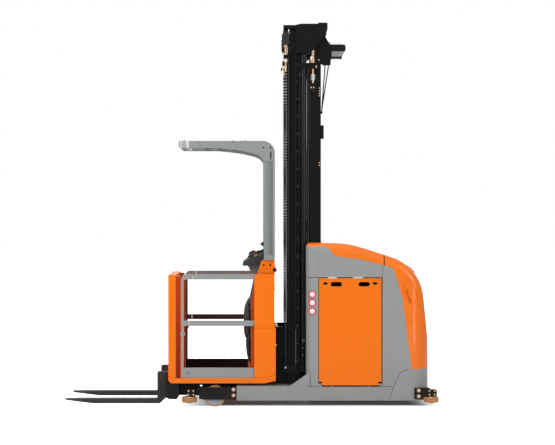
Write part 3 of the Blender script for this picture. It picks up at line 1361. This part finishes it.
def on_desk(x, y, lift, shape, top=0.012):
    """Puts a shape made at the origin on the desk's slope."""
    rise = desk_base + top + (x + desk_front) * slope_tan
    place = Matrix.Translation((x, y, rise)) @ desk_slope @ Matrix.Translation((0, 0, lift))
    bmesh.ops.transform(shape, verts=shape.verts, matrix=place)
    return shape


stop_place = Matrix.Translation((0.0408, -0.200, 1.2941)) @ desk_slope
cap = turned([(0.0005, 0.004), (0.0130, 0.004), (0.0145, 0.007), (0.0140, 0.014), (0.0100, 0.0175),
              (0.0005, 0.0185)], (0, 0, 0), "Z", 32)
collar = turned([(0.0115, -0.003), (0.0190, -0.003), (0.0180, 0.0035), (0.0115, 0.0035)],
                (0, 0, 0), "Z", 32)
for shape in (cap, collar):
    bmesh.ops.transform(shape, verts=shape.verts, matrix=stop_place)
add_smooth("stop_button", [cap], "cab", "black_plastic", stop_red)
add_smooth("stop_collar", [collar], "cab", "black_plastic", collar_yellow)
nose_line = [(-0.0730, 1.2120), (-0.0745, 1.2180), (-0.0735, 1.2250), (-0.0690, 1.2340), (-0.0590, 1.2430),
             (-0.0130, 1.2740), (0.0040, 1.2760), (0.0040, 1.2500), (-0.0600, 1.2160)]
noses = [flat_shape(nose_line, low, high) for low, high in sided(-0.298, -0.120)]
add_smooth("console_noses", noses, "cab", "black_plastic", console_black)
shells = []
for y0, y1 in ((-0.296, -0.1145), (0.1145, 0.296)):
    for x0, x1 in ((-0.060, 0.004), (0.062, 0.110)):
        half_l, half_w = (x1 - x0) / 2 / slope_cos, (y1 - y0) / 2
        plate = box_shape((-half_l, -half_w, 0), (half_l, half_w, 0.003), 0.0014, 2)
        shells.append(on_desk((x0 + x1) / 2, (y0 + y1) / 2, 0.0002, plate))
add_smooth("console_shells", shells, "cab", "grey_plastic", shell_grey)
middle_top = 0.0535
panel = box_shape((-0.040, -0.098, 0), (0.060, 0.098, 0.0022), 0.001, 2)
add_smooth("middle_panel", [on_desk(0.018, 0, 0, panel, middle_top)], "cab", "grey_plastic", shell_grey)
keys = []
for row in range(3):
    for column in range(6):
        key = box_shape((-0.006, -0.008, 0), (0.006, 0.008, 0.0028), 0.0012, 2)
        keys.append(on_desk(0.000 + 0.018 * row, -0.078 + 0.020 * column, 0.002, key, middle_top))
switch = box_shape((-0.014, -0.010, 0), (0.014, 0.010, 0.013), 0.004, 3)
keys.append(on_desk(0.020, 0.072, 0.002, switch, middle_top))
add_smooth("console_keys", keys, "cab", "black_plastic", knob_black)
edge_rows = []
for y0, y1 in sided(-0.3006, -0.2985):
    edge_rows.append(flat_shape([(-0.0755, 1.2170), (0.113, 1.3157), (0.113, 1.3135), (-0.0755, 1.2148)],
                                y0, y1))
add_plain("console_trim", edge_rows, "cab", "grey_plastic", shell_grey)
grip_knob = turned([(0.0005, 0.000), (0.0125, 0.000), (0.0125, 0.009), (0.0310, 0.0155), (0.0362, 0.026),
                    (0.0330, 0.037), (0.0200, 0.0445), (0.0005, 0.0460)], (0, 0, 0), "Z", 40)
bmesh.ops.transform(grip_knob, verts=grip_knob.verts,
                    matrix=Matrix.Translation((0.0213, 0.170, 1.2839)) @ desk_slope)
knob_piece = add_smooth("steering_knob_cap", [grip_knob], "steering_knob", "black_plastic", knob_black, 50)
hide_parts("steering_knob")
screen = flat_shape([(0.0795, 1.3912), (0.0797, 1.3896), (0.1147, 1.3637), (0.1153, 1.3650)], -0.070, 0.070)
add_plain("display_screen", [screen], "cab", "black_plastic", screen_glass)


# Guard: rounded steel posts run up from orange gussets and over the operator in one sweep, with
# cross bars for a roof and a wrapped front cap that has a narrow shadow groove at each corner.

post_shaded = banded("guard_post_shade", (0.290, 0.310, 0.305), (0.150, 0.162, 0.160),
                     (0.150, 0.162, 0.160), 0.112, 0.072, 0.1868, 1.30, 2.11, 0.42,
                     coat_weight=0.12, coat_roughness=0.15)
cap_light = banded("guard_cap_light", grey_rgb, (0.66, 0.68, 0.68), (0.66, 0.68, 0.68),
                   -0.700, 0.0005, -0.5345, 2.0, 2.4, 0.42, coat_weight=0.12, coat_roughness=0.15)
dress(post_shaded, "guard_frame")
dress(cap_light, "guard_front")
marks, post_backs = [], []
for low, high in sided(-0.4126, -0.4115):
    for x, radius in ((-0.450, 0.0035), (-0.390, 0.0035), (-0.150, 0.0050), (-0.089, 0.0035)):
        marks.append(flat_shape(disc_outline(x, 2.275, radius, 12), low, high))
    marks.append(box_shape((0.113, low, 2.1122), (0.165, high, 2.1142)))
    for z in (1.590, 1.890):
        marks.append(flat_shape(disc_outline(0.203, z, 0.0030, 12), low, high))
for low, high in sided(-0.3795, -0.3785):
    for x in (0.108, 0.166):
        post_backs.append(flat_shape(disc_outline(x, 2.2335, 0.0120, 20), low, high))
add_plain("guard_fixing_marks", [*marks, *post_backs], "cab", "grey_paint", print_black)
bumps = [((x, y, 2.2888), (0, 0, 1)) for x in (-0.577, -0.160, -0.050) for y in (-0.396, 0.396)]
fasteners("guard_top_screws", "cab", "grey_paint", grey_enamel, bumps, 0.0085, 0.005)
groove_bands = []
for low, high in sided(-0.4124, -0.4095):
    groove_bands.append(box_shape((-0.5970, low, 2.231), (-0.5650, high, 2.2875)))
cap_band = enamel("guard_cap_band", (0.42, 0.435, 0.43), 0.5, mottle=0.0, dust=0.0, scuff=0.0)
add_plain("guard_cap_bands", groove_bands, "cab", "grey_paint", cap_band)


# Cab window: one clear polycarbonate sheet between the posts on the mast side. It is thin and
# almost colourless, with a soft reflection.

window_glass = bpy.data.materials.new("clear_sheet")
window_glass.use_nodes = True
tree = window_glass.node_tree
glass_shader = tree.nodes["Principled BSDF"]
glass_shader.inputs["Base Color"].default_value = (0.97, 0.99, 0.99, 1)
glass_shader.inputs["Transmission Weight"].default_value = 1.0
glass_shader.inputs["IOR"].default_value = 1.03
smear = noise(tree, tree.nodes.new("ShaderNodeTexCoord").outputs["Object"], 6, 4)
tree.links.new(maths(tree, "ADD", maths(tree, "MULTIPLY", smear, 0.04), 0.03),
               glass_shader.inputs["Roughness"])
dress(window_glass, "cab_window")


# Gate frames and rails: rectangular tube in grey enamel with dark joints, and kick boards whose
# inner faces are lined in dark brown rubber. A cast latch with four screws locks the rails.


def gate_group():
    """Gate tube: enamel outside, dark lining on the faces turned to the operator."""
    black = (0, 0, 0, 1)
    tree, inp, place, axes = new_group("lined_gate", {
        "Colour": mid_grey, "Rail Lining": black, "Board Lining": black, "Top Lining": black,
        "Board Top": 0.335, "Rail Top": 1.085,
    })
    skin = tree.nodes.new("ShaderNodeGroup")
    skin.node_tree = machine_enamel
    skin.inputs["Roughness"].default_value = 0.42
    skin.inputs["Scuff"].default_value = 0.10
    tree.links.new(inp["Colour"], skin.inputs["Colour"])
    facing = axes_of(tree, tree.nodes.new("ShaderNodeTexCoord").outputs["Normal"])
    inner = maths(tree, "LESS_THAN", times(tree, maths(tree, "SIGN", axes["Y"], 0), facing["Y"]), -0.6)
    board = maths(tree, "LESS_THAN", axes["Z"], inp["Board Top"])
    crown = maths(tree, "GREATER_THAN", axes["Z"], inp["Rail Top"])
    lining = blend_colour(tree, board, inp["Rail Lining"], inp["Board Lining"])
    lining = blend_colour(tree, crown, lining, inp["Top Lining"])
    return end_group(tree, Colour=blend_colour(tree, inner, skin.outputs["Colour"], lining),
                     Roughness=skin.outputs["Roughness"], Height=skin.outputs["Height"])


lined_gate = gate_group()


def gate_finish(name, rail_lining):
    return skinned(name, lined_gate, {
        "Colour": (*grey_rgb, 1), "Rail Lining": (*rail_lining, 1),
        "Board Lining": (0.018, 0.008, 0.007, 1), "Top Lining": (0.255, 0.230, 0.220, 1),
    }, coat_weight=0.12, coat_roughness=0.15)


frame_lined = gate_finish("gate_frame_lined", (0.150, 0.070, 0.060))
rail_lined = gate_finish("rail_lined", (0.062, 0.024, 0.020))
dress(frame_lined, "barrier_frames")
dress(rail_lined, "top_rail_left", "top_rail_right", "mid_rail_left", "mid_rail_right")
gate_face = -0.446
latches, latch_rims = [], []
for sign in (-1, 1):
    face = sign * 0.454
    latches.append(turned([(0.0005, 0.0), (0.0170, 0.0), (0.0155, sign * 0.004), (0.0005, sign * 0.005)],
                          (-0.589, face, 0.625), "Y", 8))
    latch_rims.append(turned([(0.0190, -0.001 * sign), (0.0225, -0.001 * sign), (0.0217, 0.002 * sign),
                              (0.0195, 0.002 * sign)], (-0.589, face, 0.625), "Y", 8))
add_plain("latch_bosses", latches, "cab", "grey_paint", grey_enamel)
add_plain("latch_rims", latch_rims, "cab", "grey_paint", clip_light)
fasteners("latch_screws", "cab", "grey_paint", clip_light,
          both_sides([((-0.5895, gate_face, z), near) for z in (0.590, 0.600, 0.650, 0.660)]),
          0.0030, 0.002)
fasteners("kick_board_screws", "cab", "grey_paint", grey_enamel,
          both_sides([((-0.545, gate_face, 0.287), near)]), 0.0095, 0.0018)
joints_dark = []
for face in (-0.4464, 0.4464):
    joints_dark.append(turned([(0.0092, -0.0006), (0.0110, -0.0006), (0.0110, 0.0006), (0.0092, 0.0006)],
                              (-0.545, face, 0.287)))
for low, high in sided(-0.4463, -0.4455):
    for x, z in ((-0.505, 1.1153), (-0.542, 0.7158)):
        arc = [(x + 0.006 * (1 - cos(a)) - 0.004, z + 0.023 * sin(a))
               for a in (radians(-80 + 16 * n) for n in range(11))]
        joints_dark.append(flat_shape(arc + [(u + 0.0022, v) for u, v in reversed(arc)], low, high))
add_plain("rail_joint_lines", joints_dark, "cab", "black_plastic", print_black)


# Cab and fork carriages: black plate weldments behind and under the cab, with rollers that run in
# the inner mast. Two bright rivets show where the chain lugs are fixed.

dress(black_mast, "cab_carriage")
dress(black_cast, "fork_carriage")
fasteners("carriage_rivets", "cab", "steel", axle_steel,
          both_sides([((0.2175, -0.285, 0.515), near), ((0.2990, -0.3885, 0.330), near)]), 0.006, 0.004)


# Forks: forged steel blades hooked over the carriage, dark brown-black scale with rubbed tips,
# bright scratches along the top faces and a spring latch on each shank.


def fork_group():
    """Forged blade: scale rubbed off at the tip and in long scratches."""
    tree, inp, place, axes = new_group("forged_blade", {"Scale": (0, 0, 0, 1), "Worn": (0, 0, 0, 1)})
    tip = ramp(tree, axes["X"], -1.43, -1.61)
    lines = ramp(tree, noise(tree, stretched(tree, place, (1.0, 14.0, 14.0)), 9, 6), 0.12, 0.22)
    rub = times(tree, plus(tree, noise(tree, place, 40, 5), 0.45), tip)
    worn = maths(tree, "MINIMUM", plus(tree, times(tree, lines, 0.35), rub), 1)
    return end_group(tree, Colour=blend_colour(tree, worn, inp["Scale"], inp["Worn"]),
                     Roughness=maths(tree, "SUBTRACT", 0.55, times(tree, worn, 0.2)),
                     Height=noise(tree, place, 90, 5))


fork_steel = skinned("fork_scale", fork_group(),
                     {"Scale": (0.026, 0.023, 0.023, 1), "Worn": (0.10, 0.09, 0.085, 1)}, 0.0003,
                     specular_ior_level=0.3)
dress(fork_steel, "fork_left", "fork_right")
for side, sign in sides:
    y = sign * 0.300
    latch = box_shape((-0.790, y - 0.016, 0.2862), (-0.762, y + 0.016, 0.2905), 0.002, 2)
    lever = box_shape((-0.800, y - 0.006, 0.2862), (-0.788, y + 0.006, 0.2905), 0.0015, 1)
    add_smooth(f"fork_latch_{side}", [latch, lever], f"fork_{side}", "steel", union_grey)

low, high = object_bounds()
